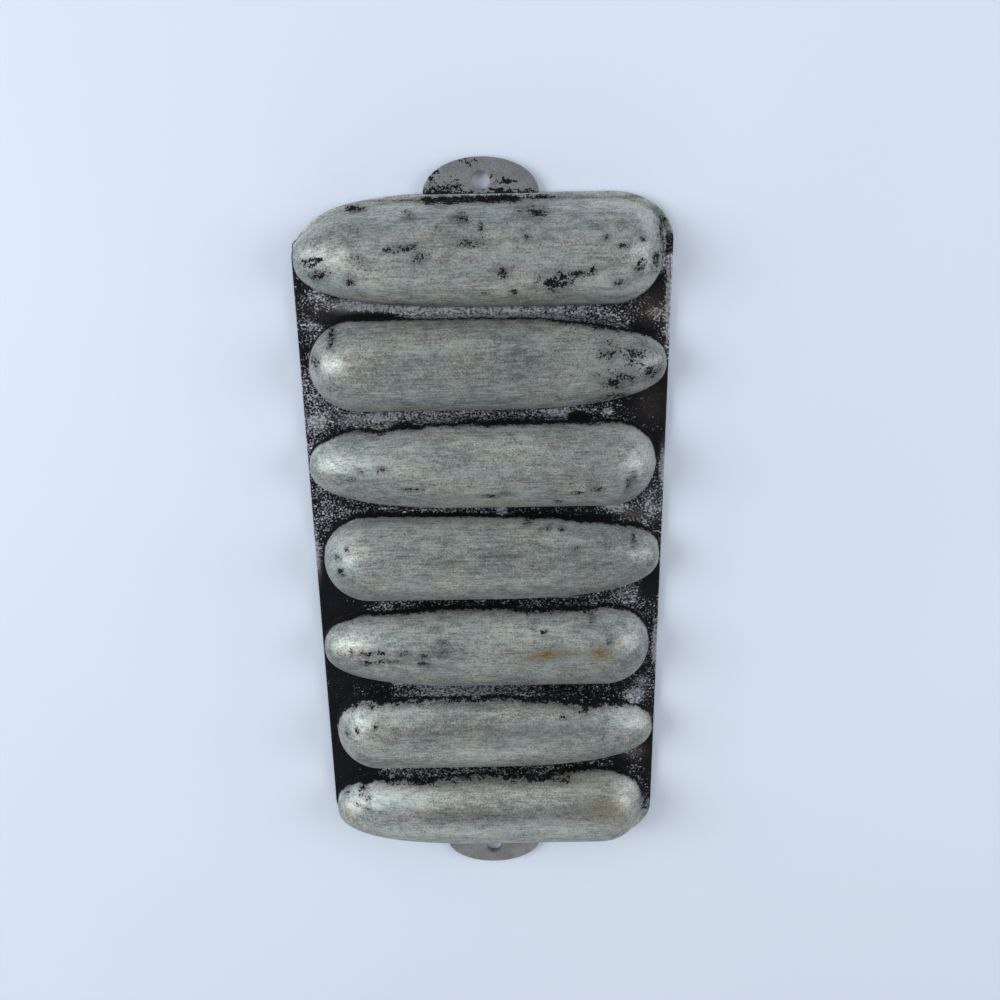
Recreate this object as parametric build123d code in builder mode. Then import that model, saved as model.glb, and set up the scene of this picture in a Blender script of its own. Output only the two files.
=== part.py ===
from build123d import *

import os
from math import degrees, sqrt

# Corn stick pan: one light metal casting that lies face down on its flat rim.
# X runs across the pan, Y along it and Z out of its back. The origin is the
# middle of the rim plane. Each feature of the casting is a solid of its own.

os.makedirs("parts", exist_ok=True)

# Plate
pan_width = 149 * MM
web_thickness = 3.5 * MM

# Ear moulds
ear_count = 7
ear_gap = 4.7 * MM
ear_radius = 18.5 * MM
ear_axis_height = 6.3 * MM
tip_length = 72 * MM
butt_length = 20 * MM
tip_edge_gap = 1.5 * MM
butt_edge_gap = 4.5 * MM
wall = 3.4 * MM

# Kernels sunk into the walls of the moulds
kernels_per_row = 14
kernel_rows = 6
kernel_depth = 1 * MM
kernel_ridge_depth = 0.3 * MM
row_ridge_width = 1 * MM
smooth_end = 4 * MM

# Ends of the pan: the rim's outline, and the skirts that slope up to the end moulds
end_margin = 5 * MM
corner_rise = 18.5 * MM
rim_band = 2 * MM
skirt_rise = 6 * MM
skirt_lap = 0.3 * MM
tip_corner_shares = ((0.096, 0.453), (0.383, 0.828), (0.66, 0.945))

# Hanging lugs
lug_width = 44.6 * MM
lug_reach = 13.3 * MM
lug_thickness = 3.2 * MM
lug_edge_radius = 0.8 * MM
lug_hole_diameter = 6.8 * MM
lug_hole_setback = 8.7 * MM

# Places that follow from the sizes
half_width = pan_width / 2
ear_pitch = 2 * ear_radius + ear_gap
end_reach = ear_radius + end_margin
end_axis_y = (ear_count - 1) / 2 * ear_pitch
tip_centre_x = tip_edge_gap + tip_length - half_width
butt_centre_x = half_width - butt_edge_gap - butt_length
pan_end_y = end_axis_y + end_reach
lug_hole_y = pan_end_y + lug_reach - lug_hole_setback
row_arc = 180 / kernel_rows
row_ridge_arc = degrees(row_ridge_width / (ear_radius - wall))


def ear_plane(number):
    # Moulds are numbered from the +Y end, and every second one is turned round.
    across = 1 if number % 2 else -1
    place = (0, end_axis_y - (number - 1) * ear_pitch, 0)
    return Plane(origin=place, x_dir=(across, 0, 0), z_dir=(0, 0, 1))


def half_ear_line(tip_reach, butt_reach, radius):
    # Half of an ear's outline: a long elliptical tip, a straight run, a blunt butt.
    with BuildLine() as line:
        tip = EllipticalCenterArc((tip_centre_x, 0), tip_reach, radius, 90, arc_size=90)
        butt = EllipticalCenterArc((butt_centre_x, 0), butt_reach, radius, arc_size=90)
        Line(tip @ 0, butt @ 1)
    return Wire(line.edges())


def half_ear_sketch(plane, tip_reach, butt_reach, radius):
    with BuildSketch(plane) as half:
        with BuildLine():
            add(half_ear_line(tip_reach, butt_reach, radius))
            Line((tip_centre_x - tip_reach, 0), (butt_centre_x + butt_reach, 0))
        make_face()
    return half.sketch


def ear_form(plane, inset=0):
    # Upright sides up to the ear's axis, with half a body of revolution on top.
    sizes = (tip_length - inset, butt_length - inset, ear_radius - inset)
    raised = plane.offset(ear_axis_height)
    with BuildPart() as form:
        add(half_ear_sketch(plane, *sizes))
        extrude(amount=ear_axis_height)
        mirror(about=Plane(origin=plane.origin, z_dir=plane.y_dir))
        add(half_ear_sketch(raised, *sizes))
        revolve(axis=Axis(raised.origin, raised.x_dir), revolution_arc=180)
    return form.part


def points_along(inset, shares):
    # Points of an ear's outline, drawn in, at these shares of its length between its smooth ends.
    line = half_ear_line(tip_length - inset, butt_length - inset, ear_radius - inset)
    run = line.length - 2 * smooth_end
    found = [
        line.position_at(smooth_end + run * share, position_mode=PositionMode.LENGTH)
        for share in shares
    ]
    return sorted(found, key=lambda point: point.X)


def kernel_row_sketch(plane):
    # A row of kernels in section, one arc each, down to the ear's axis.
    cusps = points_along(
        wall - kernel_ridge_depth,
        [step / kernels_per_row for step in range(kernels_per_row + 1)],
    )
    crests = points_along(
        wall - kernel_depth,
        [(step + 1 / 2) / kernels_per_row for step in range(kernels_per_row)],
    )
    with BuildSketch(plane) as row:
        with BuildLine():
            for left, crest, right in zip(cusps, crests, cusps[1:]):
                ThreePointArc(left, crest, right)
            Polyline(cusps[0], (cusps[0].X, 0), (cusps[-1].X, 0), cusps[-1])
        make_face()
    return row.sketch


def cob_form():
    # The hollow of a mould: a smooth half ear, with rows of kernels standing on it.
    axis_plane = Plane.XY.offset(ear_axis_height)
    with BuildPart() as cob:
        add(ear_form(Plane.XY, wall))
        for row in range(kernel_rows):
            turn = row * row_arc + row_ridge_arc / 2
            add(kernel_row_sketch(axis_plane.rotated((turn, 0, 0))))
            revolve(
                axis=Axis(axis_plane.origin, axis_plane.x_dir),
                revolution_arc=row_arc - row_ridge_arc,
            )
    return cob.part


def tip_corner(inset):
    # The rim's curve from the tip of an end mould to the lug, or the same curve drawn in.
    start_x = inset - half_width
    run = -lug_width / 2 - start_x
    reach = end_reach - inset
    points = [(start_x + run * along, reach * out) for along, out in tip_corner_shares]
    return Spline((start_x, 0), *points, (start_x + run, reach), tangents=((0, 1), (1, 0)))


def rim_sketch(plane):
    # The outline of the flat plate under an end mould.
    with BuildSketch(plane) as rim:
        with BuildLine():
            tip = tip_corner(0)
            corner = EllipticalCenterArc(
                (butt_centre_x, end_reach - corner_rise),
                half_width - butt_centre_x,
                corner_rise,
                arc_size=90,
            )
            Line(tip @ 1, corner @ 1)
            Polyline(corner @ 0, (half_width, 0), tip @ 0)
        make_face()
    return rim.sketch


def skirt_form(plane):
    # A ruled slope from the plate up to the flank of an end mould.
    narrowing = sqrt(1 - (skirt_rise / ear_radius) ** 2)
    with BuildPart() as form:
        with BuildSketch(plane.offset(web_thickness)):
            with BuildLine():
                tip = tip_corner(rim_band)
                butt = EllipticalCenterArc(
                    (butt_centre_x, 0),
                    butt_length - skirt_lap,
                    end_reach - rim_band,
                    arc_size=90,
                )
                Line(tip @ 1, butt @ 1)
                Line(tip @ 0, butt @ 0)
            make_face()
        add(
            half_ear_sketch(
                plane.offset(ear_axis_height + skirt_rise),
                tip_length * narrowing - skirt_lap,
                butt_length * narrowing - skirt_lap,
                ear_radius * narrowing - skirt_lap,
            )
        )
        loft(ruled=True)
    return form.part


def write(part, name):
    part.label = name
    export_step(part, f"parts/{name}.step")


# End moulds: the one at +Y is made in place, the other is its mirror image
cob = cob_form()

with BuildPart() as end_ear:
    add(rim_sketch(ear_plane(1)))
    extrude(amount=web_thickness)
    add(ear_form(ear_plane(1)))
    add(skirt_form(ear_plane(1)))
    with Locations(ear_plane(1)):
        add(cob, mode=Mode.SUBTRACT)
write(end_ear.part, "ear_mould_1")

with BuildPart() as far_ear:
    add(end_ear.part)
    mirror(about=Plane.XZ, mode=Mode.REPLACE)
write(far_ear.part, f"ear_mould_{ear_count}")

# Moulds between them, all alike
with BuildPart() as middle_ear:
    add(ear_form(Plane.XY))
    add(cob, mode=Mode.SUBTRACT)

for number in range(2, ear_count):
    with BuildPart() as ear:
        with Locations(ear_plane(number)):
            add(middle_ear.part)
    write(ear.part, f"ear_mould_{number}")

# Webs: the flat plate between each mould and the next
for number in range(1, ear_count):
    middle = ear_plane(number).origin.Y - ear_pitch / 2
    with BuildPart() as web:
        with BuildSketch(Plane.XY):
            with Locations((0, middle)):
                Rectangle(pan_width, ear_pitch)
        extrude(amount=web_thickness)
        add(ear_form(ear_plane(number)), mode=Mode.SUBTRACT)
        add(ear_form(ear_plane(number + 1)), mode=Mode.SUBTRACT)
    write(web.part, f"web_{number}_{number + 1}")

# Hanging lugs: half an ellipse each, on the straight part of the rim
with BuildPart() as lug:
    with BuildSketch(Plane.XY):
        with BuildLine():
            edge = EllipticalCenterArc((0, pan_end_y), lug_width / 2, lug_reach, arc_size=180)
            Line(edge @ 1, edge @ 0)
        make_face()
    extrude(amount=lug_thickness)
    fillet(lug.edges().filter_by(GeomType.ELLIPSE), radius=lug_edge_radius)
    with Locations((0, lug_hole_y, lug_thickness)):
        Hole(lug_hole_diameter / 2)
write(lug.part, "hanging_lug_top")

with BuildPart() as far_lug:
    add(lug.part)
    mirror(about=Plane.XZ, mode=Mode.REPLACE)
write(far_lug.part, "hanging_lug_bottom")
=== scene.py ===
import bmesh
import bpy
import math
import numpy as np
from mathutils import Matrix, Vector


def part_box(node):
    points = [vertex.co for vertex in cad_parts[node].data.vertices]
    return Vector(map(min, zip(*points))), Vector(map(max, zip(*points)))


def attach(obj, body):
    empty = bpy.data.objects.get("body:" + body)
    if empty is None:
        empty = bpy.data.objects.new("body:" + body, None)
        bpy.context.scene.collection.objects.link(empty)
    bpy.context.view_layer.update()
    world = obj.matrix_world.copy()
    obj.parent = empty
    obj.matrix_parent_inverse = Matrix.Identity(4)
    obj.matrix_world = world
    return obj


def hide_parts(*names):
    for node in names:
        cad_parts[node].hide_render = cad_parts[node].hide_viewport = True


# Corn stick pan seen from the back. Lengths below are in millimetres, and the
# meshes are made in millimetres too and scaled to metres when they are placed.

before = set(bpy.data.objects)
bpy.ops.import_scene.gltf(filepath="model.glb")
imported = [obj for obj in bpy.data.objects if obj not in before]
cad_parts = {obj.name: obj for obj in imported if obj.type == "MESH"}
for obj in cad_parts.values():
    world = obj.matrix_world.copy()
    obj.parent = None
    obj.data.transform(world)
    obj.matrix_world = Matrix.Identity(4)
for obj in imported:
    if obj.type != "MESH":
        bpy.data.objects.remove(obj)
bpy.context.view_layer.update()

METRE = 1000.0


def box_mm(node):
    low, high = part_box(node)
    return np.array(low) * METRE, np.array(high) * METRE


# Sizes read from the frame
ear_count = 7
_, web_high = box_mm("web_1_2")
half_width = web_high[0]
web_top = web_high[2]
ear_axes = [web_high[1]] + [box_mm(f"web_{n}_{n + 1}")[0][1] for n in range(1, ear_count)]
ear_low, ear_high = box_mm("ear_mould_2")
ear_radius = (ear_high[1] - ear_low[1]) / 2
axis_height = ear_high[2] - ear_radius
butt_end = -ear_low[0]
tip_end = ear_high[0]
pan_end_reach = box_mm("ear_mould_1")[1][1] - ear_axes[0]
_, lug_high = box_mm("hanging_lug_top")

# Ears
tip_length = 72.0
butt_length = 20.0
tip_fullness = 2.6
wall = 3.4
fillet = 2.0
draft_height = 5.0
foot_sink = 0.12
foot_depth = 1.0
foot_pull = 0.22
crown_pull = 0.33
side_steps = 8
dome_steps = 22
station_step = 0.85
tip_centre = tip_length - tip_end
butt_centre = butt_end - butt_length

# Kernels
kernels_per_row = 14
kernel_rows = 6
kernel_depth = 1.0
kernel_ridge_depth = 0.3
row_ridge_width = 1.0
smooth_end = 4.0
dent_power_along = 3.5
dent_power_across = 3
steps_per_kernel = 10
mouth_rounding = 0.5

# Skirts and rim
rim_band = 2.0
skirt_top = 11.0
skirt_fade = 4.0
skirt_cap = 0.62
flank_cap = 0.32
skirt_pull = 0.3
skirt_lift = 0.05
edge_rounding = 0.7
under_rounding = 0.6
corner_rise = 18.5
tip_corner_shares = ((0.096, 0.453), (0.383, 0.828), (0.66, 0.945))

# Webs
web_step = 0.6
web_cells = 22
grain_height = 0.16

# Lugs
lug_hole_radius = 3.4
lug_hole_setback = 8.7
lug_edge_radius = 0.8


# Small tools

def fade(low, high, value):
    share = np.clip((value - low) / (high - low), 0, 1)
    return share * share * (3 - 2 * share)


def lattice(x, y, seed):
    # A repeatable number from 0 to 1 for each whole-numbered place.
    mixed = np.sin(x * 127.1 + y * 311.7 + seed * 74.7) * 43758.5453
    return mixed - np.floor(mixed)


def grain(x, y, size, seed):
    # Smooth bumps of about this size, from -1 to 1.
    u, v = x / size, y / size
    iu, iv = np.floor(u), np.floor(v)
    fu, fv = fade(0, 1, u - iu), fade(0, 1, v - iv)
    low = lattice(iu, iv, seed) * (1 - fu) + lattice(iu + 1, iv, seed) * fu
    high = lattice(iu, iv + 1, seed) * (1 - fu) + lattice(iu + 1, iv + 1, seed) * fu
    return 2 * (low * (1 - fv) + high * fv) - 1


def smooth_curve(points, start, finish, count):
    # A cubic spline through points, with its directions given at both ends.
    points = np.array(points, float)
    gaps = np.linalg.norm(np.diff(points, axis=0), axis=1)
    knots = np.concatenate(([0], np.cumsum(gaps)))
    size = len(points)
    system, wanted = np.eye(size), np.zeros((size, 2))
    wanted[0], wanted[-1] = start, finish
    for i in range(1, size - 1):
        before, after = gaps[i - 1], gaps[i]
        system[i, i - 1:i + 2] = after, 2 * (before + after), before
        rise = (points[i] - points[i - 1]) / before * after
        wanted[i] = 3 * (rise + (points[i + 1] - points[i]) / after * before)
    slopes = np.linalg.solve(system, wanted)
    found = []
    for at in np.linspace(0, knots[-1], count):
        i = min(np.searchsorted(knots, at, side="right") - 1, size - 2)
        t = (at - knots[i]) / gaps[i]
        found.append(
            points[i] * (1 + 2 * t) * (1 - t) ** 2
            + slopes[i] * gaps[i] * t * (1 - t) ** 2
            + points[i + 1] * t * t * (3 - 2 * t)
            + slopes[i + 1] * gaps[i] * t * t * (t - 1)
        )
    return np.array(found)


def grid_faces(rows, columns, start=0, ring=False):
    faces = []
    last = columns if ring else columns - 1
    for i in range(rows - 1):
        for j in range(last):
            k = (j + 1) % columns
            a = start + i * columns
            b = a + columns
            faces.append((a + j, a + k, b + k, b + j))
    return faces


def make_piece(name, points, faces, nodes, material, sharp=40):
    mesh = bpy.data.meshes.new(name)
    mesh.from_pydata((np.array(points) / METRE).tolist(), [], faces)
    work = bmesh.new()
    work.from_mesh(mesh)
    bmesh.ops.remove_doubles(work, verts=work.verts, dist=2e-6)
    bmesh.ops.dissolve_degenerate(work, dist=1e-7, edges=work.edges)
    bmesh.ops.holes_fill(work, edges=work.edges, sides=0)
    bmesh.ops.recalc_face_normals(work, faces=work.faces)
    work.to_mesh(mesh)
    work.free()
    mesh.polygons.foreach_set("use_smooth", [True] * len(mesh.polygons))
    mesh.set_sharp_from_angle(angle=math.radians(sharp))
    piece = bpy.data.objects.new(name, mesh)
    bpy.context.scene.collection.objects.link(piece)
    mesh.materials.append(material)
    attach(piece, "root")
    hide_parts(*nodes)
    return piece


def vertices_mm(piece):
    flat = np.zeros(len(piece.data.vertices) * 3, np.float32)
    piece.data.vertices.foreach_get("co", flat)
    return flat.reshape(-1, 3).astype(float) * METRE


def store(piece, name, values):
    layer = piece.data.attributes.new(name, "FLOAT", "POINT")
    layer.data.foreach_set("value", np.asarray(values, np.float32))


# Outlines of the ears

def outline(t, inset=0.0):
    # Half an ear's outline at t from 0 to 3, one unit each for tip, straight run and butt.
    t = np.atleast_1d(t).astype(float)
    radius = ear_radius - inset
    power = 2 / tip_fullness
    a = np.clip(t, 0, 1) * math.pi / 2
    c = np.clip(t - 2, 0, 1) * math.pi / 2
    cos_a, sin_a = np.maximum(np.cos(a), 0), np.sin(a)
    x = tip_centre - (tip_length - inset) * cos_a ** power
    x = x + (butt_centre - tip_centre) * np.clip(t - 1, 0, 1)
    x = x + (butt_length - inset) * np.sin(c)
    r = radius * sin_a ** power * np.maximum(np.cos(c), 0)
    out_x = -(cos_a ** (2 - power)) / (tip_length - inset) + np.sin(c) / (butt_length - inset)
    out_r = sin_a ** (2 - power) * np.maximum(np.cos(c), 0) / radius
    size = np.hypot(out_x, out_r)
    return x, r, out_x / size, out_r / size


def stations():
    fine = np.linspace(0, 3, 6001)
    x, r, _, _ = outline(fine, wall)
    run = np.concatenate(([0], np.cumsum(np.hypot(np.diff(x), np.diff(r)))))
    count = int(run[-1] / station_step)
    places = np.linspace(0, run[-1], count + 1)
    return np.interp(places, run, fine), places


station_t, station_run = stations()


def width_at(x):
    # Half the width of an ear at x along it, and zero beyond its ends.
    tip = np.clip((tip_centre - x) / tip_length, 0, 1)
    butt = np.clip((x - butt_centre) / butt_length, 0, 1)
    return (
        ear_radius
        * (1 - tip ** tip_fullness) ** (1 / tip_fullness)
        * np.sqrt(1 - butt ** 2)
    )


def rim_outline():
    # The pan's end seen from above, beside an end ear's axis.
    run = half_width - lug_high[0]
    points = [(-half_width, 0)]
    points += [(-half_width + run * u, pan_end_reach * v) for u, v in tip_corner_shares]
    points += [(-lug_high[0], pan_end_reach)]
    tip = smooth_curve(points, (0, 1), (1, 0), 200)
    turn = np.linspace(math.pi / 2, 0, 80)
    corner = np.stack(
        (
            butt_centre + (half_width - butt_centre) * np.cos(turn),
            pan_end_reach - corner_rise + corner_rise * np.sin(turn),
        ),
        1,
    )
    return np.concatenate((tip, corner, [(half_width, 0)]))


def reach_to(line, x, y, out_x, out_y):
    # How far a ray goes from a point of the ear's outline to the rim's.
    a, b = line[:-1], line[1:]
    found = []
    for px, py, dx, dy in zip(x, y, out_x, out_y):
        ex, ey = b[:, 0] - a[:, 0], b[:, 1] - a[:, 1]
        cross = dx * ey - dy * ex
        cross = np.where(abs(cross) < 1e-12, 1e-12, cross)
        along = ((a[:, 0] - px) * ey - (a[:, 1] - py) * ex) / cross
        share = ((a[:, 0] - px) * dy - (a[:, 1] - py) * dx) / cross
        good = (along > 0) & (share >= -1e-6) & (share <= 1 + 1e-6)
        found.append(along[good].min())
    return np.array(found)


# Ear pieces

def flank(foot, rise, x, r, out_x, out_r, skirt=0.0):
    # One side of an ear from its foot on the web up to its crown.
    rise = np.minimum(rise, axis_height + (flank_cap + (skirt_cap - flank_cap) * skirt) * r)
    turn = np.where(rise > axis_height, (rise - axis_height) / np.maximum(r, 1e-6), 0)
    turn = np.arcsin(np.clip(turn, 0, 1))
    top = np.stack((x, r * np.cos(turn), rise), 1)
    climb = np.stack((0 * x, -np.sin(turn), np.cos(turn)), 1)
    base = np.stack((x + out_x * foot, r + out_r * foot, 0 * x + web_top - foot_sink), 1)
    inward = np.stack((-out_x, -out_r, 0 * x), 1)
    reach = np.linalg.norm(top - base, axis=1)[:, None]
    skirt = np.reshape(skirt + 0 * x, (-1, 1))
    start = inward * reach * foot_pull * (1 - skirt) + (top - base) * skirt_pull * skirt
    p1 = base + start + np.array((0, 0, skirt_lift)) * reach * skirt
    p2 = top - climb * reach * crown_pull
    columns = []
    for s in np.linspace(0, 1, side_steps + 1):
        columns.append(
            base * (1 - s) ** 3 + 3 * p1 * s * (1 - s) ** 2 + 3 * p2 * s * s * (1 - s) + top * s ** 3
        )
    upright = np.maximum(axis_height - rise, 0)
    total = upright + r * (math.pi / 2 - turn)
    for k in range(1, dome_steps + 1):
        along = total * k / dome_steps
        angle = turn + np.maximum(along - upright, 0) / np.maximum(r, 1e-6)
        angle = np.minimum(angle, math.pi / 2)
        on_dome = along > upright
        y = np.where(on_dome, r * np.cos(angle), r)
        z = np.where(on_dome, axis_height + r * np.sin(angle), rise + along)
        columns.append(np.stack((x, y, z), 1))
    return columns


def hidden_edge(foot, x, r, out_x, out_r):
    # The part of a side that is buried in the web, from the rim plane up to the foot.
    def at(off, z):
        return np.stack((x + out_x * off, r + out_r * off, 0 * x + z), 1)
    buried = web_top - foot_depth
    return [at(0, 0), at(0, buried), at(foot, buried)]


def rim_columns(reach, foot, x, r, out_x, out_r):
    # The rim of the pan's end, from the rim plane round its edge to the skirt's foot.
    def at(off, z):
        return np.stack((x + out_x * off, r + out_r * off, 0 * x + z), 1)
    columns = [at(reach * share, 0) for share in (0.0, 0.5)]
    columns += [at(reach - edge_rounding * under_rounding, 0)]
    for turn in np.linspace(0, math.pi / 2, 4):
        lift = under_rounding * (1 - math.cos(turn))
        inset = edge_rounding * under_rounding * (1 - math.sin(turn))
        columns.append(at(reach - inset, edge_rounding * lift))
    for turn in np.linspace(0, math.pi / 2, 5):
        columns.append(
            at(
                reach - edge_rounding * (1 - math.cos(turn)),
                web_top - foot_sink - edge_rounding * (1 - math.sin(turn)),
            )
        )
    inner = np.minimum(foot, reach - edge_rounding)
    for share in (0.35, 0.7):
        columns.append(
            at(
                reach - edge_rounding + (inner - reach + edge_rounding) * share,
                web_top - foot_sink,
            ),
        )
    return columns


def cavity_columns():
    # The hollow, from its mouth up one wall, over and down the other, with its kernels.
    x, r, out_x, out_r = outline(station_t, wall)
    run = station_run
    share = (run - smooth_end) / (run[-1] - 2 * smooth_end) * kernels_per_row
    cell = 2 * (share - np.floor(share)) - 1
    dent = 1 - abs(cell) ** dent_power_along
    along = kernel_ridge_depth + (kernel_depth - kernel_ridge_depth) * dent
    along = np.where((share > 0) & (share < kernels_per_row), along, 0)
    ridge = row_ridge_width / ((ear_radius - wall) * math.pi / kernel_rows)

    def across(value):
        inner = (value - ridge / 2) / (1 - ridge)
        return np.clip(1 - abs(2 * np.clip(inner, 0, 1) - 1) ** dent_power_across, 0, 1)

    def point(side, turn, z, push):
        deep = along * push
        if turn is None:
            y, up = r + out_r * deep, 0 * x + z
        else:
            y = (r + out_r * deep) * math.cos(turn)
            up = axis_height + (r + out_r * deep) * math.sin(turn)
        return np.stack((x + out_x * deep, side * y, up), 1)

    def mouth(side):
        columns = []
        for turn in np.linspace(0, math.pi / 2, 4):
            off = mouth_rounding * (1 - math.sin(turn))
            z = mouth_rounding * (1 - math.cos(turn))
            columns.append(np.stack((x + out_x * off, side * (r + out_r * off), 0 * x + z), 1))
        for share in (0.2, 0.4, 0.6, 0.8):
            columns.append(point(side, None, axis_height * share, 0))
        return columns

    right, left = mouth(-1), mouth(1)
    over = []
    total = kernel_rows * steps_per_kernel
    for k in range(total + 1):
        value = k / steps_per_kernel
        turn = math.pi - math.pi * k / total
        over.append(point(1, turn, 0, across(value - math.floor(value))))
    return right + over + left[::-1]


def ear_piece(number, material):
    x, r, out_x, out_r = outline(station_t)
    outward = {1: 1, ear_count: -1}.get(number, 0)
    across = 1 if number % 2 else -1
    room = half_width - edge_rounding - abs(x)
    foot = np.minimum(fillet, room / np.maximum(abs(out_x), 0.2))
    foot = np.maximum(foot, 0.3)
    sides = {}
    for side in (1, -1):
        if side != outward:
            columns = hidden_edge(foot, x, r, out_x, out_r)
            columns += flank(foot, 0 * x + web_top + fillet + draft_height, x, r, out_x, out_r)
        else:
            reach = reach_to(rim_outline(), x, r, out_x, out_r)
            ends = np.minimum(x + tip_end, butt_end - x)
            amount = fade(0, skirt_fade, ends)
            skirt_foot = np.minimum(
                np.maximum(reach - rim_band, fillet), reach - edge_rounding - 0.1
            )
            skirt_foot = foot + (skirt_foot - foot) * amount
            rise = web_top + fillet + draft_height
            rise = rise + (axis_height + skirt_top - rise) * amount
            columns = rim_columns(reach, skirt_foot, x, r, out_x, out_r)
            columns += flank(skirt_foot, rise, x, r, out_x, out_r, amount)
        sides[side] = columns
    mirror = np.array((1, -1, 1))
    loop = sides[1] + [c * mirror for c in sides[-1][-2::-1]]
    loop = loop + cavity_columns()
    points = np.stack(loop, 1)
    points = points * np.array((across, 1, 1)) + np.array((0, ear_axes[number - 1], 0))
    rows, columns = points.shape[:2]
    faces = grid_faces(rows, columns, ring=True)
    node = f"ear_mould_{number}"
    return make_piece(
        f"ear_{number}", points.reshape(-1, 3), faces, [node], material
    )


# Web pieces

def web_piece(number, material):
    upper = 1 if number % 2 else -1
    ends = np.array([-tip_end, -butt_end, butt_end, tip_end])
    xs = [np.arange(-half_width + edge_rounding, half_width - edge_rounding, web_step)]
    near = edge_rounding * np.array((0.0, 0.02, 0.08, 0.2, 0.4, 0.7, 1.0, 1.5, 2.2))
    for end in ends:
        xs.append(end - near * np.sign(end))
    xs = np.unique(np.round(np.concatenate(xs), 3))
    turn = np.linspace(0, math.pi / 2, 5)
    edge = half_width - edge_rounding * (1 - np.cos(turn))
    drop = edge_rounding * (1 - np.sin(turn))
    top_x = np.concatenate((-edge[:-1], xs, edge[:-1][::-1]))
    top_drop = np.concatenate((drop[:-1], 0 * xs, drop[:-1][::-1]))
    high_y = ear_axes[number - 1] - width_at(upper * top_x)
    low_y = ear_axes[number] + width_at(-upper * top_x)
    share = np.linspace(0, 1, web_cells + 1)
    y = high_y[:, None] + (low_y - high_y)[:, None] * share
    x = np.repeat(top_x[:, None], web_cells + 1, 1)
    rough = grain(x, y, 0.9, 1) * 0.6 + grain(x, y, 2.3, 2) * 0.5
    z = web_top - top_drop[:, None] + grain_height * rough * (top_drop[:, None] == 0)
    top = np.stack((x, y, z), 2)
    base_drop = np.minimum(top_drop, edge_rounding * under_rounding)
    base = np.stack((x, y, np.repeat(base_drop[:, None], web_cells + 1, 1)), 2)
    rows = len(top_x)
    columns = web_cells + 1
    points = np.concatenate((top, base)).reshape(-1, 3)
    faces = grid_faces(rows, columns)
    faces += [f[::-1] for f in grid_faces(rows, columns, start=rows * columns)]
    for i in range(rows - 1):
        for j in (0, columns - 1):
            a = i * columns + j
            b = a + columns
            faces.append((a, b, b + rows * columns, a + rows * columns))
    for i in (0, rows - 1):
        for j in range(columns - 1):
            a = i * columns + j
            faces.append((a, a + 1, a + 1 + rows * columns, a + rows * columns))
    node = f"web_{number}_{number + 1}"
    return make_piece(node + "_casting", points, faces, [node], material)


# Lug pieces

def lug_piece(name, side, node, material):
    half, top = lug_high[0], lug_high[2]
    root = ear_axes[0] + pan_end_reach
    reach = lug_high[1] - root
    hole_y = root + reach - lug_hole_setback
    sunk = 1.2
    turn = np.linspace(0, math.pi, 73)
    arc = np.stack((half * np.cos(turn), root + reach * np.sin(turn)), 1)
    back = np.linspace(-half, half, 30)
    base = np.stack((back, 0 * back + root - sunk), 1)
    line = np.concatenate((arc, base))
    centre = np.array((0, hole_y))
    ray = line - centre
    length = np.linalg.norm(ray, axis=1)
    unit = ray / length[:, None]

    def at(distance, z):
        flat = centre + unit * np.reshape(distance, (-1, 1))
        return np.concatenate((flat, np.full((len(flat), 1), z)), 1)

    rim = 0.35
    columns = []
    for angle in np.linspace(0, math.pi / 2, 4):
        out = lug_hole_radius + rim * (1 - math.cos(angle))
        columns.append(at(np.full(len(line), out), top - rim * (1 - math.sin(angle))))
    for share in (0.2, 0.4, 0.6, 0.8):
        start = lug_hole_radius + rim
        columns.append(at(start + (length - lug_edge_radius - start) * share, top))
    for angle in np.linspace(math.pi / 2, 0, 6):
        inset = lug_edge_radius * (1 - math.cos(angle))
        columns.append(at(length - inset, top - lug_edge_radius * (1 - math.sin(angle))))
    for angle in np.linspace(0, math.pi / 2, 4):
        inset = lug_edge_radius * (1 - math.cos(angle))
        columns.append(at(length - inset, lug_edge_radius * (1 - math.sin(angle))))
    columns.append(at(np.full(len(line), lug_hole_radius + rim), 0))
    columns.append(at(np.full(len(line), lug_hole_radius), rim))
    points = np.stack(columns, 0) * np.array((1, side, 1))
    rows, count = points.shape[:2]
    faces = grid_faces(rows, count, ring=True)
    first, last = 0, (rows - 1) * count
    for j in range(count):
        k = (j + 1) % count
        faces.append((first + j, first + k, last + k, last + j))
    return make_piece(name, points.reshape(-1, 3), faces, [node], material)


# Materials. The scales of their noises are per metre.

residue_black = (0.011, 0.011, 0.013)
grain_dim = (0.115, 0.12, 0.13)
grain_pale = (0.55, 0.56, 0.60)
stain_brown = (0.19, 0.125, 0.04)
pit_black = (0.02, 0.02, 0.022)
smudge_grey = (0.05, 0.052, 0.055)
web_brown = (0.17, 0.125, 0.095)


def node(tree, kind, **settings):
    made = tree.nodes.new(kind)
    for key, value in settings.items():
        setattr(made, key, value)
    return made


def new_material(name):
    material = bpy.data.materials.new(name)
    material.use_nodes = True
    tree = material.node_tree
    tree.nodes.clear()
    output = node(tree, "ShaderNodeOutputMaterial")
    shader = node(tree, "ShaderNodeBsdfPrincipled")
    tree.links.new(shader.outputs[0], output.inputs["Surface"])
    return material, tree, shader


def noise(tree, scale, detail=2.0, stretch=(1, 1, 1), roughness=0.5):
    place = node(tree, "ShaderNodeTexCoord")
    mapping = node(tree, "ShaderNodeMapping")
    mapping.inputs["Scale"].default_value = stretch
    texture = node(tree, "ShaderNodeTexNoise")
    texture.inputs["Scale"].default_value = scale
    texture.inputs["Detail"].default_value = detail
    texture.inputs["Roughness"].default_value = roughness
    tree.links.new(place.outputs["Object"], mapping.inputs["Vector"])
    tree.links.new(mapping.outputs[0], texture.inputs["Vector"])
    return texture.outputs[0]


def attribute(tree, name):
    return node(tree, "ShaderNodeAttribute", attribute_name=name).outputs["Fac"]


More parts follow.
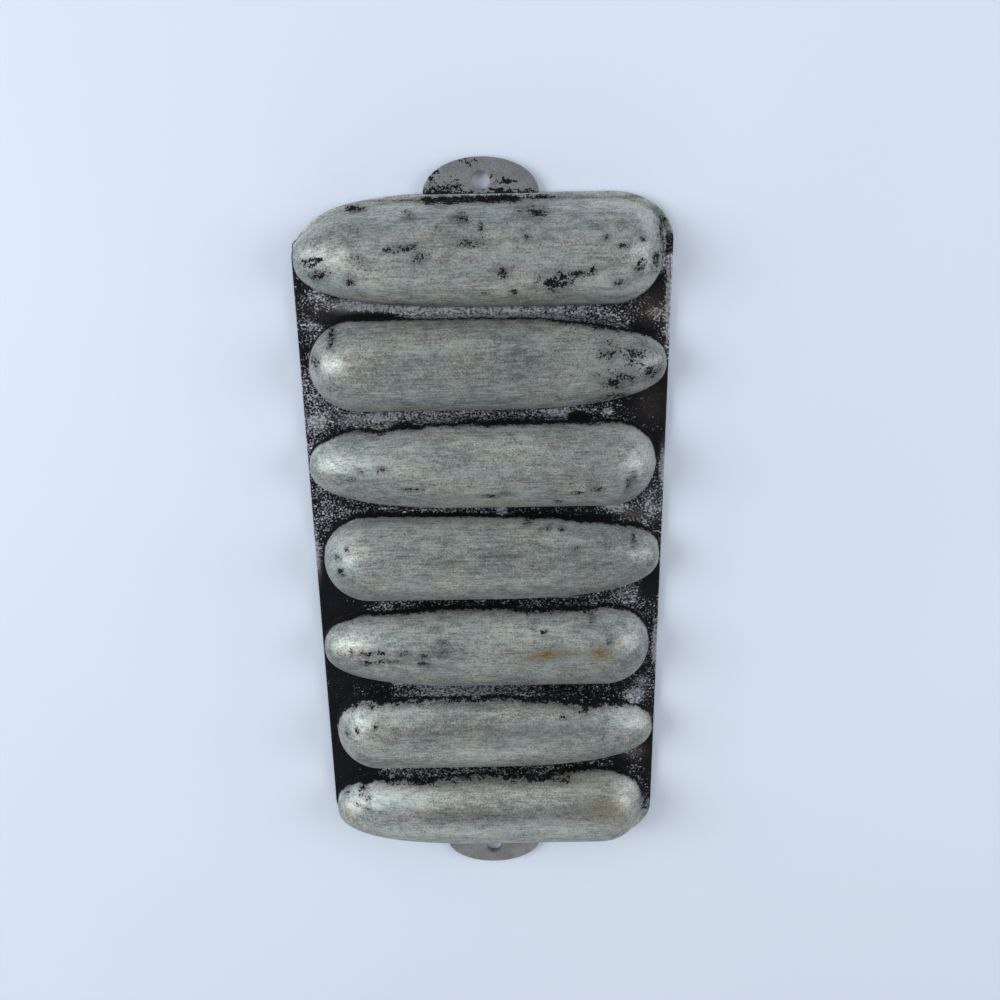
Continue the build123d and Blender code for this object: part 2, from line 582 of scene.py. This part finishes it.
def maths(tree, operation, a, b=None):
    made = node(tree, "ShaderNodeMath", operation=operation)
    for socket, value in zip(made.inputs, (a, b)):
        if value is None:
            continue
        if isinstance(value, (int, float)):
            socket.default_value = value
        else:
            tree.links.new(value, socket)
    return made.outputs[0]


def ramp(tree, value, low, high, to_low=0.0, to_high=1.0):
    made = node(tree, "ShaderNodeMapRange", interpolation_type="SMOOTHSTEP")
    tree.links.new(value, made.inputs["Value"])
    made.inputs["From Min"].default_value = low
    made.inputs["From Max"].default_value = high
    made.inputs["To Min"].default_value = to_low
    made.inputs["To Max"].default_value = to_high
    return made.outputs[0]


def mix(tree, share, a, b):
    made = node(tree, "ShaderNodeMix", data_type="RGBA")
    sockets = {"Factor": made.inputs[0], "A": made.inputs[6], "B": made.inputs[7]}
    for key, value in (("Factor", share), ("A", a), ("B", b)):
        if isinstance(value, tuple):
            sockets[key].default_value = (*value, 1)
        elif isinstance(value, (int, float)):
            sockets[key].default_value = value
        else:
            tree.links.new(value, sockets[key])
    return made.outputs[2]


def bump(tree, shader, height, strength, distance):
    made = node(tree, "ShaderNodeBump")
    made.inputs["Strength"].default_value = strength
    made.inputs["Distance"].default_value = distance
    tree.links.new(height, made.inputs["Height"])
    tree.links.new(made.outputs[0], shader.inputs["Normal"])


def blend(tree, *parts):
    # A sum of sockets, each times its own share.
    total = None
    for value, share in parts:
        part = maths(tree, "MULTIPLY", value, share)
        total = part if total is None else maths(tree, "ADD", total, part)
    return total


def scaled(tree, colour, value):
    made = node(tree, "ShaderNodeVectorMath", operation="SCALE")
    tree.links.new(colour, made.inputs[0])
    tree.links.new(value, made.inputs["Scale"])
    return made.outputs[0]


def specks(tree, attribute_name, grit, width):
    # Where the residue of that attribute shows, broken up by the grit.
    level = attribute(tree, attribute_name)
    clumps = noise(tree, 330, 3.0, (0.5, 1, 1), 0.6)
    offset = blend(tree, (grit, 3.1), (clumps, 1.9))
    value = maths(tree, "ADD", level, maths(tree, "SUBTRACT", offset, 2.5))
    return ramp(tree, value, 0.5 - width, 0.5 + width)


def residue(tree):
    # Baked-on residue: black, with lighter grains where the attribute is higher.
    fine = noise(tree, 1150, 2.0, roughness=0.65)
    value = blend(tree, (fine, 0.75), (noise(tree, 380, 3.0), 0.25))
    value = maths(tree, "ADD", value, attribute(tree, "bright"))
    share = ramp(tree, value, 0.50, 0.58)
    light = mix(tree, ramp(tree, noise(tree, 900, 2.0), 0.35, 0.65), grain_dim, grain_pale)
    return mix(tree, share, residue_black, light), share, fine, value


def brushed_casting():
    material, tree, shader = new_material("brushed casting")
    # Streaks run along the ears. The other noises are patches, mottle and grains.
    streaks = noise(tree, 1.0, 3.0, (110, 1300, 1300), 0.6)
    patches = noise(tree, 85, 4.0, (0.5, 1, 1), 0.6)
    mottle = noise(tree, 330, 4.0, (0.6, 1, 1), 0.65)
    grains = noise(tree, 1300, 3.0, roughness=0.7)
    grit = blend(tree, (noise(tree, 2100, 2.0), 0.5), (noise(tree, 750, 3.0), 0.5))
    colour = mix(
        tree, ramp(tree, patches, 0.36, 0.64), (0.250, 0.271, 0.262), (0.300, 0.309, 0.284)
    )
    broad = noise(tree, 75, 2.0, (0.3, 1, 1))
    shade = blend(tree, (grains, 0.36), (streaks, 0.22), (mottle, 0.24), (broad, 0.18))
    shade = ramp(tree, shade, 0.38, 0.62, 0.46, 1.5)
    # The tone attribute carries the metal's own tone together with painted light: lighter flanks, end
    # highlights and reflections.
    colour = scaled(tree, colour, maths(tree, "MULTIPLY", shade, attribute(tree, "tone")))
    # Brown stains, dark pits and smudges, and then the baked-on residue over them
    stain = maths(
        tree, "MULTIPLY", attribute(tree, "stain"), ramp(tree, mottle, 0.35, 0.62, 0.35, 1.0)
    )
    colour = mix(tree, stain, colour, stain_brown)
    pits = blend(tree, (noise(tree, 1500, 1.0), 1.0), (patches, 0.22))
    colour = mix(tree, ramp(tree, pits, 0.815, 0.86), colour, pit_black)
    smudge = ramp(tree, attribute(tree, "soot"), -0.35, 0.45, 0.0, 0.42)
    colour = mix(tree, smudge, colour, smudge_grey)
    soot = specks(tree, "soot", grit, 0.09)
    colour = mix(tree, soot, colour, residue(tree)[0])
    tree.links.new(colour, shader.inputs["Base Color"])
    shader.inputs["Metallic"].default_value = 0.45
    shader.inputs["Specular IOR Level"].default_value = 0.1
    rough = ramp(tree, grains, 0.3, 0.7, 0.38, 0.54)
    rough = maths(tree, "ADD", rough, maths(tree, "MULTIPLY", soot, 0.3))
    tree.links.new(rough, shader.inputs["Roughness"])
    height = blend(tree, (streaks, 0.2), (grains, 0.6), (soot, 0.25))
    bump(tree, shader, height, 0.5, 0.0002)
    return material


def blackened_web():
    material, tree, shader = new_material("blackened web")
    colour, share, fine, value = residue(tree)
    smooth = mix(tree, ramp(tree, fine, 0.3, 0.7), (0.17, 0.17, 0.19), (0.34, 0.34, 0.36))
    colour = mix(tree, attribute(tree, "smooth"), colour, smooth)
    brown = maths(tree, "MULTIPLY", attribute(tree, "brown"), ramp(tree, fine, 0.3, 0.7, 0.5, 1.0))
    colour = mix(tree, brown, colour, web_brown)
    tree.links.new(colour, shader.inputs["Base Color"])
    shader.inputs["Metallic"].default_value = 0.4
    shader.inputs["Specular IOR Level"].default_value = 0.08
    tree.links.new(ramp(tree, share, 0, 1, 0.6, 0.42), shader.inputs["Roughness"])
    bump(tree, shader, value, 0.7, 0.0004)
    return material


def lug_casting():
    material, tree, shader = new_material("lug casting")
    patches = noise(tree, 160, 4.0)
    grains = noise(tree, 1250, 3.0, roughness=0.7)
    grit = blend(tree, (noise(tree, 1800, 2.0), 0.45), (noise(tree, 600, 3.0), 0.55))
    colour = mix(tree, ramp(tree, patches, 0.36, 0.64), (0.188, 0.188, 0.192), (0.24, 0.241, 0.242))
    shade = ramp(tree, grains, 0.3, 0.7, 0.8, 1.2)
    colour = scaled(tree, colour, maths(tree, "MULTIPLY", shade, attribute(tree, "tone")))
    soot = specks(tree, "soot", grit, 0.08)
    colour = mix(tree, soot, colour, residue_black)
    tree.links.new(colour, shader.inputs["Base Color"])
    shader.inputs["Metallic"].default_value = 0.3
    shader.inputs["Specular IOR Level"].default_value = 0.1
    shader.inputs["Roughness"].default_value = 0.5
    bump(tree, shader, blend(tree, (grit, 0.5), (grains, 0.5)), 0.4, 0.0002)
    return material


# Where the residue lies. The rows below are places given in millimetres.

# Levels of the residue on the metal, which shows above about a half
no_soot = -0.4
full_soot = 1.6
cavity_soot = -0.25
mouth_soot = 0.3
far_edge = 4.6
far_softness = 1.2

# Tones of the metal, with painted light on the flanks and painted highlights on the ends
painted_flank_light = 0.34
# Painted end highlights move this far towards +Y on each later ear
painted_highlight_shift = 1.4
cavity_tone = 0.8
cavity_stain = 0.05
cavity_bright = -0.1

# For each ear: x, the height that the residue reaches on the flank, and how softly it ends
residue_edges = {
    2: (
        (-71, 9, 2), (-60, 7.5, 2), (-50, 10, 1.5), (-40, 10, 1.5), (-30, 9.5, 3), (-8, 9.5, 3),
        (25, 10.5, 4), (36, 12.5, 4), (56, 13, 4), (66, 10, 2),
    ),
    3: (
        (-66, 7, 2), (-54, 8, 3), (-42, 12.5, 3), (-14, 12, 3), (45, 12, 3), (56, 10, 2), (66, 8, 2)
    ),
    4: (
        (-70, 6.5, 1.2), (-54, 7, 1.5), (-34, 7, 1.5), (-4, 8, 2), (26, 10, 2.5), (44, 11, 2.5),
        (60, 8, 2), (68, 5.5, 2),
    ),
    5: (
        (-66, 7, 1.5), (-54, 7.5, 2), (-48, 9, 2), (-34, 10, 3), (6, 10, 3), (16, 12, 4),
        (40, 12, 4), (52, 9.5, 3), (66, 7, 2),
    ),
    6: (
        (-66, 10, 3), (-62, 13, 4), (-44, 14.4, 4), (-14, 13, 5), (6, 14, 4), (25, 15, 4),
        (45, 15.5, 4), (55, 13, 3), (66, 10, 3),
    ),
    7: (
        (-70, 6, 1.5), (-64, 7, 2), (-59, 10, 2), (-55, 8, 2), (-48, 12, 3), (-34, 13, 4),
        (-24, 13, 6), (-8, 12, 6), (6, 14, 5), (25, 13, 5), (34, 10, 4), (56, 9.5, 3), (66, 8, 3),
    ),
}

# For each ear: x, distance from its axis, and two half sizes of a fleck of residue
residue_marks = {
    1: (
        (-64, 0, 5, 2), (-62, -4.5, 4, 2), (-68, 0, 1.5, 1), (-50, -6.6, 2, 2), (-46, 1.3, 3, 2),
        (-23, 2, 3, 2), (-29, 5.3, 6, 1.6), (-4, 6.7, 6, 1.4), (1, -12.2, 1, 0.8), (8, -4, 3, 2),
        (28, -8, 6, 3.5), (36, -5, 3, 1.6), (41, -4, 2, 1.5), (20, -10, 1.5, 1), (59, -2.4, 2, 3),
        (66, -1, 2, 4), (-27, 16, 2, 1.5), (-48, 18.6, 4, 1.5), (-16, 12, 1, 1), (0, 12, 1, 1.5),
        (-8, 15, 3, 2), (20, 17, 5, 2), (-3, 21.3, 21, 1.1), (-16, 21, 6, 1.8), (20, 21.8, 8, 0.8),
        (69, 8, 2.2, 8), (70, 0, 1.6, 4), (-40, -17.4, 20, 0.8), (-36, -19.2, 18, 0.6),
        (43, -19.3, 13, 0.9), (70, 3, 3, 4), (51, -9, 2, 1.5), (12, -11.7, 1, 1), (53, 5, 2, 1),
        (60, 7, 1.5, 1), (46, 8, 1, 1), (17, 8, 1, 1),
    ),
    2: (
        (-59, 13.4, 1.5, 4), (43, -2.2, 2.5, 1.2), (59, 4, 6, 5), (52, -5, 7, 3), (49, 7, 4, 4),
        (52, -12.4, 8, 1.6), (66, -2, 3, 3), (-66, 4, 2, 3),
    ),
    3: (
        (-50, 2, 1.3, 0.8), (-54, -1.6, 2, 1), (-42, 3, 2, 0.6), (-59, -1, 1.2, 0.5),
        (-30, -5.4, 4, 0.6), (2, -9, 4, 0.8), (8, -8, 3, 0.8), (35, -8.3, 3, 0.7),
        (44, -6.7, 2.5, 1), (57, -4.4, 1, 2.5), (59, -1.7, 0.8, 2), (29, -12.8, 1.5, 0.7),
    ),
    4: (
        (-62, 5.7, 1.5, 1.5), (-61, 0, 1.5, 2), (-58, 9.2, 1, 1.5), (22, 14.8, 0.8, 0.8),
        (25, 15.6, 0.8, 0.5), (31, 15.4, 0.8, 0.6), (17, 17.4, 2, 0.6), (37, 8.7, 2, 1),
        (61, 9.5, 1, 2),
    ),
    5: (
        (-59, 3.6, 1.2, 1.2), (-52, 3.3, 4, 1.6), (-46, 3.9, 3, 1.5), (-53, -0.9, 3, 1.3),
        (-44, 0.5, 6, 0.8), (-37, 3.7, 3, 1.5), (-28, 3.7, 2, 1.6), (-21, 4.7, 3, 1.5),
        (-21, 8.6, 2, 1), (-28, -0.4, 3, 1), (19, 13, 0.8, 0.8), (23, 12, 0.8, 0.8),
        (51, 9.2, 1.5, 2), (44, 16.2, 1, 2),
    ),
    6: (
        (-51, 9.4, 0.8, 0.8), (-53, 15.6, 0.8, 0.8), (-64, 4.9, 1, 1.5), (-59, 7.2, 1, 1.5),
        (-42, 8.4, 1.2, 0.8), (32, 11.7, 2, 1), (42, 12.8, 3, 2),
    ),
    7: (
        (-60, 12, 2, 2.5), (-57, 9.5, 1, 2), (-62, 7, 3, 0.9), (-57, 6, 2, 1.1), (70.5, 4, 2.4, 9),
        (71, -5, 1.6, 3), (-68, 12, 2, 3), (30, 17, 5, 1.2), (10, 17.5, 6, 1),
    ),
}

# For each ear: x, distance from its axis, two half sizes and the strength of a brown stain
stains = {
    3: ((-10, -9.5, 6, 2, 0.3),),
    5: ((27, 4, 7, 1.8, 1.1), (20, 1.9, 6, 1.2, 0.7), (47, 3.7, 4, 2.6, 1.1)),
    6: ((30, 15, 14, 1.6, 0.4),),
    7: ((50, 9, 9, 5, 0.45), (10, 17, 50, 2.4, 0.45), (56, 3, 8, 6, 0.3)),
}

# For each ear: its tone, and rows of x, distance from its axis, two half sizes and a change of tone
tones = {
    # Some rows are painted light: the light bands below the axis of ears 1, 6 and 7 and the dark band along
    # ear 7's middle are painted reflections, and the last rows of ears 6 and 7 are painted highlights on
    # their right ends.
    1: (0.98, ((0, 10, 60, 3, -0.16), (-52, 12, 12, 6, -0.14), (0, -8, 60, 6, 0.08))),
    2: (0.9, ((0, 8, 60, 5, -0.06), (-40, -4, 16, 6, 0.08), (20, -14, 40, 3, 0.1))),
    3: (0.96, ((-20, 4, 50, 5, 0.06), (20, -8, 40, 4, -0.08), (40, 12, 16, 3, -0.14))),
    4: (
        0.93,
        (
            (0, 9, 50, 4, -0.06), (-30, 2, 20, 6, 0.06), (46, 10, 9, 3.5, -0.18),
            (-24, 6, 8, 2, -0.14),
        ),
    ),
    5: (0.96, ((10, 8, 60, 4, 0.08), (20, -3, 30, 4, -0.08))),
    6: (0.98, ((-20, 12.5, 46, 3, 0.12), (0, 7, 60, 2.5, -0.24), (0, -4, 60, 4, 0.1), (56, 11, 7, 3, 0.3))),
    7: (
        1.1,
        (
            (-10, 12, 60, 3.4, 0.32), (-8, 5.6, 46, 2.8, -0.4), (40, 7, 16, 4, -0.22),
            (0, -3, 60, 4, 0.1), (62, 12, 4, 5, 0.4),
        ),
    ),
}

# Painted highlights on the ears' ends: x, distance from the axis, two half sizes and the change of tone
painted_end_highlights = ((-61, 0, 8, 5, 0.34), (-50, 0, 14, 9, 0.1), (61, 1, 6, 6, 0.24))

# For the webs: rows of x and how light they are there
web_lightness = {
    1: (
        (-74, -0.06), (-56, -0.02), (-50, 0.12), (-30, 0.13), (-12, 0.13), (8, 0.1), (28, 0.05),
        (50, -0.01), (74, -0.04),
    ),
    2: (
        (-74, 0.0), (-60, 0.0), (-52, 0.04), (-38, 0.07), (-16, 0.06), (10, 0.03), (40, 0.02),
        (56, -0.06), (74, -0.15),
    ),
    3: (
        (-74, -0.03), (-54, -0.05), (-30, -0.03), (0, -0.04), (14, -0.09), (46, -0.09), (56, 0.0),
        (74, -0.04),
    ),
    4: (
        (-74, -0.15), (-56, -0.12), (-50, -0.02), (-38, -0.02), (-28, -0.09), (36, -0.07),
        (54, -0.02), (74, -0.03),
    ),
    5: (
        (-74, -0.14), (-48, -0.12), (-34, 0.04), (-2, 0.05), (14, -0.02), (30, -0.07), (56, -0.07),
        (74, -0.05),
    ),
    6: ((-74, -0.15), (-56, -0.13), (-50, 0.0), (-20, 0.02), (0, -0.01), (50, -0.02), (74, -0.07)),
}

# x and y of a patch on the webs, two half sizes, and what it adds: light grains, bare metal, brown
web_patches = (
    (-5, 104, 60, 7, 0.06, 0, 0), (0, 21, 60, 7, 0.03, 0, 0), (0, -21, 60, 7, 0.04, 0, 0),
    (0, -62.5, 60, 7, 0.03, 0, 0), (66, 105, 6, 5, 0, 0, 0.3), (67, 66, 5, 8, 0, 0, 0.15),
    (-66, 103, 6, 6, 0, 0, 0.12), (73.5, 110, 0.9, 14, 0.35, 0.5, 0), (71, 121, 2, 4, 0.1, 0, 0),
    (-64.5, 112, 3, 3, 0.12, 0, 0), (-67, 100, 4, 3, 0.14, 0, 0), (-54.5, 107, 5, 2, 0, 0.7, 0),
    (-42, 105.7, 12, 1.4, 0.16, 0.3, 0), (-49, 102, 12, 2.2, -0.6, 0, 0),
    (5.5, 103.2, 2, 1, 0.4, 0.8, 0), (68.5, 101.7, 3, 2, 0.14, 0, 0.3), (64, 95, 4, 4, -0.2, 0, 0),
    (68, 112, 3, 5, -0.2, 0, 0), (-69.5, 59.8, 3, 2, 0.2, 0.3, 0), (-66, 68, 5, 6, 0.05, 0, 0),
    (-54.5, 60.3, 5, 2, 0, 0.6, 0), (-44.5, 60.8, 2, 1, 0.4, 0.7, 0), (-32, 58.2, 3, 1, -0.4, 0, 0),
    (8, 59.2, 12, 0.7, -0.4, 0, 0), (29.5, 62.2, 4, 1, 0.2, 0.3, 0),
    (50.5, 62.2, 1.5, 1, 0.3, 0.4, 0), (38, 60.7, 3, 1.2, -0.3, 0, 0), (6, 19.7, 1.3, 1, 0.5, 1, 0),
    (42, 15.8, 7, 1, -0.3, 0, 0), (54.5, 19.8, 4, 1.5, 0.2, 0.1, 0),
    (62, 16.8, 4, 2, -0.05, 0, 0.7), (-66, 20, 5, 8, 0.04, 0, 0), (69, 22, 3, 6, 0.06, 0.25, 0),
    (73.6, 39, 0.9, 6, 0.4, 0.8, 0), (-73.6, -1, 0.9, 6, 0.3, 0.7, 0),
    (33, -21, 5, 1.2, 0, 0.8, 0.15), (60, -20, 4, 3, 0.05, 0.2, 0), (70.5, -15, 3, 5, -0.3, 0, 0),
    (73.6, -45, 0.9, 6, 0.4, 0.8, 0), (-42.5, -62.5, 1.5, 1, 0.3, 0.5, 0),
    (65.5, -70.5, 3, 2, 0.5, 1, 0), (68.5, -63.5, 2, 2, 0.1, 0.5, 0),
    (65.5, -100, 4, 3, 0.05, 0.1, 0.6), (72, -100, 1.5, 8, -0.3, 0, 0),
    (60, -106, 3, 3, -0.2, 0, 0),
)

# Flecks of residue on the upper lug, as x and distance out from the pan's end, with half sizes
lug_marks = (
    (-14.5, 1.8, 4, 2.2), (-18, 5, 2, 2), (-4.5, 11.2, 3.5, 0.9), (9.5, 4, 3.5, 0.9),
    (5.5, 1.2, 9, 0.8), (-8.5, 3, 1.6, 1.4), (4.5, 6, 1, 0.8), (-7, 0.6, 12, 0.8),
    (-17.5, 7.5, 1.2, 1), (15, 1, 5, 0.8), (-11, 5.5, 1.5, 0.8), (-1, 2.4, 2, 0.8),
)


def marks_at(x, y, rows):
    # How strongly each place is covered by the nearest of the flecks.
    total = 0 * x
    for across, along, half_x, half_y in rows:
        away = ((x - across) / max(half_x, 1.2)) ** 2 + ((y - along) / max(half_y, 0.9)) ** 2
        total = np.maximum(total, np.exp(-0.4 * away))
    return total


def patch_sum(x, y, rows, column=4):
    # The sum of soft patches, each times the value in this column of its row.
    total = 0 * x
    for row in rows:
        away = ((x - row[0]) / row[2]) ** 2 + ((y - row[1]) / row[3]) ** 2
        total = total + row[column] * np.exp(-0.7 * away)
    return total


def lightness(webs, x, y):
    # How many light grains the residue has, by the web that it lies on or next to.
    total = grain(x, y, 5, 7) * 0.03 + patch_sum(x, y, web_patches)
    for web, rows in web_lightness.items():
        rows = np.array(rows)
        total = total + np.interp(x, rows[:, 0], rows[:, 1]) * (np.clip(webs, 1, ear_count - 1) == web)
    return total


def ear_looks(piece, number):
    p = vertices_mm(piece)
    x, y, z = p[:, 0], p[:, 1] - ear_axes[number - 1], p[:, 2]
    open_side = {1: y > 0, ear_count: y < 0}.get(number, np.full(len(y), False))
    width = width_at(x * (1 if number % 2 else -1))
    depth = np.hypot(y, np.maximum(z - axis_height, 0))
    inside = depth < width - wall * 0.45

    # Residue climbs the flanks: by the rows at +Y, and to one height on the other side.
    rows = np.array(residue_edges.get(number, ((0, 0, 1),)), float)
    wave = grain(x, 0 * x + number * 9.1, 7, 3) * 0.7
    wave = wave + grain(x, 0 * x + number * 5.3, 2.4, 4) * 0.6
    near = np.interp(x, rows[:, 0], rows[:, 1]) + wave
    soft = np.interp(x, rows[:, 0], rows[:, 2])
    far = far_edge + wave * 0.4
    soot = np.where(y > 0, 0.5 + (near - z) / soft, 0.5 + (far - z) / far_softness)
    soot = np.clip(np.where(open_side, no_soot, soot), no_soot, full_soot)

    # Flecks, the rim's blackened ends beside the end ears, and the upper lug's root
    soot = np.maximum(soot, no_soot + marks_at(x, y, residue_marks.get(number, ())))
    strip = (abs(x) > butt_end - 1.5) & (z < web_top + 0.5) & open_side
    soot = np.where(strip, np.maximum(soot, 1.0 - abs(y) / 11), soot)
    if number == 1:
        root = 1.25 - abs(y - 21.3) / 1.6 - 0.9 * fade(16, 23, abs(x + 4))
        soot = np.maximum(soot, np.where(z > 2, root, no_soot))
    soot = np.where(inside, cavity_soot + mouth_soot * (z < 3), soot)

    # Painted light: the metal is made lighter low on the flanks, and painted highlights lie on the ends.
    tone, changes = tones[number]
    turned = 1 - np.clip((z - axis_height) / np.maximum(width, 1), 0, 1)
    end_highlight = patch_sum(x, y - painted_highlight_shift * number, painted_end_highlights)
    tone = tone + painted_flank_light * fade(0.12, 0.7, turned) + end_highlight
    tone = np.where(inside, cavity_tone, tone + patch_sum(x, y, changes))
    stain = np.where(inside, cavity_stain, patch_sum(x, y, stains.get(number, ())))

    # Light grains lie in the residue as on the web beside it, and fade out up the flank.
    webs = np.where(y > 0, number - 1, number)
    bright = lightness(webs, x, p[:, 1]) - 0.22 * fade(-3.5, -1.2, z - near) * (y > 0)
    bright = bright - 0.35 * fade(1.0, 3.0, z - np.maximum(near, 5.5))
    store(piece, "soot", soot)
    store(piece, "tone", tone)
    store(piece, "stain", stain)
    store(piece, "bright", np.where(inside, cavity_bright, bright))


def web_looks(piece, number):
    p = vertices_mm(piece)
    x, y = p[:, 0], p[:, 1]
    store(piece, "bright", lightness(0 * x + number, x, y))
    store(piece, "smooth", np.clip(patch_sum(x, y, web_patches, column=5), 0, 1))
    store(piece, "brown", np.clip(patch_sum(x, y, web_patches, column=6), 0, 1))


def lug_looks(piece, side):
    p = vertices_mm(piece)
    away = abs(p[:, 1]) - ear_axes[0] - pan_end_reach
    if side > 0:
        soot = np.maximum(-0.2 + 0.9 * marks_at(p[:, 0], away, lug_marks), 0.75 - away / 1.6)
        soot = np.where(p[:, 2] < 1.5, np.minimum(soot, -0.1), soot)
    else:
        soot = np.full(len(p), no_soot)
    store(piece, "soot", np.clip(soot, no_soot, 1.2))
    store(piece, "tone", np.full(len(p), 1.0 if side > 0 else 1.08))


def build_pan():
    casting, web, lug = brushed_casting(), blackened_web(), lug_casting()
    for number in range(1, ear_count + 1):
        ear_looks(ear_piece(number, casting), number)
    for number in range(1, ear_count):
        web_looks(web_piece(number, web), number)
    for name, side in (("top", 1), ("bottom", -1)):
        lug_looks(lug_piece(f"lug_{name}", side, f"hanging_lug_{name}", lug), side)


# Floor, light and camera

def floor():
    # It is open under the hollow of the pan, so that the underside is lit in views from below.
    size, gap_x, gap_y = 3.0, 0.066, 0.136
    mesh = bpy.data.meshes.new("floor")
    rings = ((size, size), (gap_x, gap_y))
    turns = ((-1, -1), (1, -1), (1, 1), (-1, 1))
    corners = [(x * s, y * t, 0) for x, y in rings for s, t in turns]
    faces = [(j, (j + 1) % 4, 4 + (j + 1) % 4, 4 + j) for j in range(4)]
    mesh.from_pydata(corners, [], faces)
    made = bpy.data.objects.new("floor", mesh)
    bpy.context.scene.collection.objects.link(made)
    material, tree, shader = new_material("pale floor")
    colour = mix(
        tree, ramp(tree, noise(tree, 3, 2.0), 0.3, 0.7), (0.70, 0.76, 0.865), (0.725, 0.78, 0.88)
    )
    tree.links.new(colour, shader.inputs["Base Color"])
    shader.inputs["Roughness"].default_value = 0.8
    shader.inputs["Specular IOR Level"].default_value = 0.1
    mesh.materials.append(material)


def lamp(name, place, target, size, power, colour):
    data = bpy.data.lights.new(name, "AREA")
    data.shape = "RECTANGLE"
    data.size, data.size_y = size
    data.energy = power
    data.color = colour
    made = bpy.data.objects.new(name, data)
    made.location = place
    direction = Vector(target) - Vector(place)
    made.rotation_euler = direction.to_track_quat("-Z", "Y").to_euler()
    bpy.context.scene.collection.objects.link(made)


def lights():
    world = bpy.data.worlds.new("studio")
    bpy.context.scene.world = world
    world.use_nodes = True
    background = world.node_tree.nodes["Background"]
    background.inputs["Color"].default_value = (0.93, 0.965, 1.0, 1)
    background.inputs["Strength"].default_value = 0.3
    pale = (0.93, 0.97, 1.0)
    lamp("left window", (-1.15, 0.3, 0.75), (0, 0, 0), (0.9, 0.9), 15, pale)
    lamp("right window", (1.15, 0.2, 0.6), (0, 0, 0), (0.8, 0.8), 8, pale)
    lamp("far window", (0, 1.3, 0.8), (0, 0, 0), (2.0, 0.9), 4.5, pale)
    lamp("near window", (0, -1.3, 0.8), (0, 0, 0), (2.0, 0.9), 4.5, pale)


def camera():
    data = bpy.data.cameras.new("camera")
    data.lens = 35.28
    data.sensor_width = 36
    data.clip_start = 0.01
    made = bpy.data.objects.new("camera", data)
    # Above the pan's far half, tilted back and turned a little, as the photograph was taken
    place = (0.00541, 0.16102, 0.3956)
    tilt, roll = math.radians(-19.218), math.radians(-0.9294)
    turn = Matrix.Rotation(tilt, 4, "X") @ Matrix.Rotation(roll, 4, "Z")
    made.matrix_world = Matrix.Translation(place) @ turn
    bpy.context.scene.collection.objects.link(made)
    bpy.context.scene.camera = made


build_pan()
floor()
lights()
camera()
bpy.context.scene.view_settings.view_transform = "Standard"
